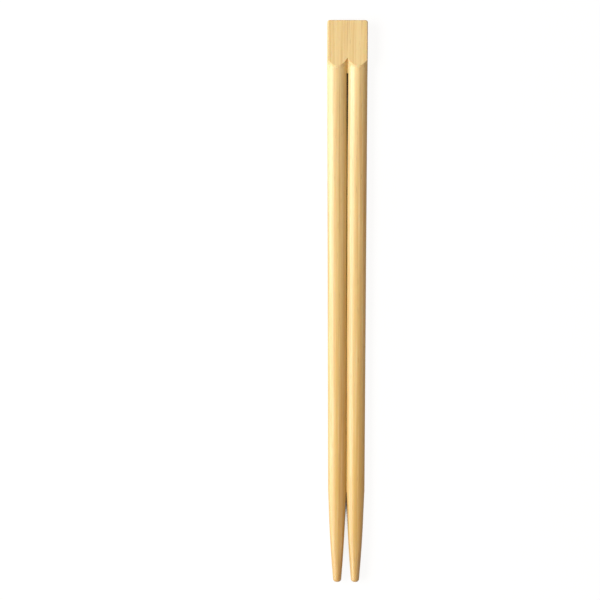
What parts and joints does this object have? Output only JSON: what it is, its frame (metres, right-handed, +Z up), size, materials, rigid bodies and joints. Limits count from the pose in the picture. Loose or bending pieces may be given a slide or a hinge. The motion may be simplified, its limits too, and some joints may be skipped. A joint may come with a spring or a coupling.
{
  "type": "joined bamboo chopsticks",
  "caption": "Disposable bamboo chopsticks joined at a flat block head, with rounded shafts, a sawn slit between them and tapered round tips, snapped apart before eating.",
  "frame": {"origin": "centre of the underside of the box round the part, on the surface it lies on", "axes": "+Y along the length towards the head, +Z up through the thickness, X across the pair"},
  "size_m": [0.0152, 0.21, 0.005],
  "materials": {
    "bamboo": "planed and lightly sanded bare bamboo, satin, grain along the length"
  },
  "bodies": {
    "root": {"joined_chopsticks": "bamboo"}
  },
  "joints": []
}
